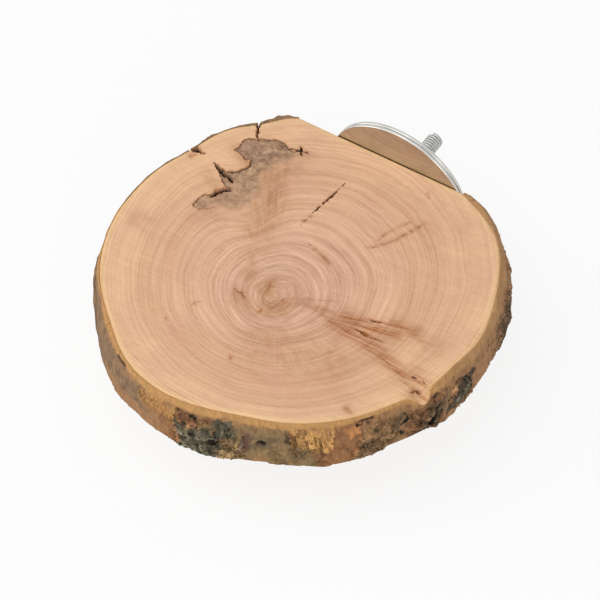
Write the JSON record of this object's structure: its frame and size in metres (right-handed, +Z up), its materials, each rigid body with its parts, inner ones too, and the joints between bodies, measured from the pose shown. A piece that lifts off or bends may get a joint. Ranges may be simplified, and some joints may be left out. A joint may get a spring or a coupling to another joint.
{
  "type": "bird perch",
  "caption": "Round log-slice platform perch with a natural bark edge and a sawn flat, clamped to a cage wall by a threaded stud with wide washers and a wing nut.",
  "frame": {"origin": "on the stud's axis at the clamp plane, which is the inner washer's outer face", "axes": "+Y out along the stud, away from the slab and through the cage wall; +Z up, out of the slab's top face; +X to the right seen from the slab's front"},
  "size_m": [0.1309, 0.14, 0.05],
  "materials": {
    "sanded_wood": "fine sanded, unsealed end grain",
    "inner_bark": "shaved smooth, matte",
    "outer_bark": "rough, matte",
    "ingrown_bark": "crumbly, matte",
    "zinc_steel": "bright zinc plating"
  },
  "bodies": {
    "perch": {"wood_slab": "sanded_wood", "inner_bark_rear": "inner_bark", "inner_bark_shoulder": "inner_bark", "inner_bark_left": "inner_bark", "inner_bark_front_left": "inner_bark", "inner_bark_front": "inner_bark", "inner_bark_front_right": "inner_bark", "inner_bark_knot": "inner_bark", "inner_bark_right": "inner_bark", "outer_bark_shoulder": "outer_bark", "outer_bark_left": "outer_bark", "outer_bark_lichen": "outer_bark", "outer_bark_olive": "outer_bark", "outer_bark_straw": "outer_bark", "outer_bark_grey": "outer_bark", "outer_bark_knot": "outer_bark", "outer_bark_strip": "outer_bark", "outer_bark_right": "outer_bark", "ingrown_bark_upper": "ingrown_bark", "ingrown_bark_middle": "ingrown_bark", "ingrown_bark_lower": "ingrown_bark", "hanger_bolt": "zinc_steel"},
    "inner_washer": {"inner_washer": "zinc_steel"},
    "outer_washer": {"outer_washer": "zinc_steel"},
    "wing_nut": {"wing_nut": "zinc_steel"}
  },
  "joints": [
    {"name": "inner_washer_spin", "type": "hinge", "parent": "perch", "child": "inner_washer", "pos_m": [0, 0, 0], "axis": [0, 1, 0], "continuous": true},
    {"name": "clamp_slide", "type": "slide", "parent": "perch", "child": "outer_washer", "axis": [0, 1, 0], "range_m": [0, 0.0135]},
    {"name": "nut_turn", "type": "hinge", "parent": "outer_washer", "child": "wing_nut", "pos_m": [0, 0, 0], "axis": [0, 1, 0], "range_deg": [0, 4680]}
  ],
  "couplings": [
    {"joint": "clamp_slide", "follows": "nut_turn", "m_per_rad": 0.00015915}
  ]
}
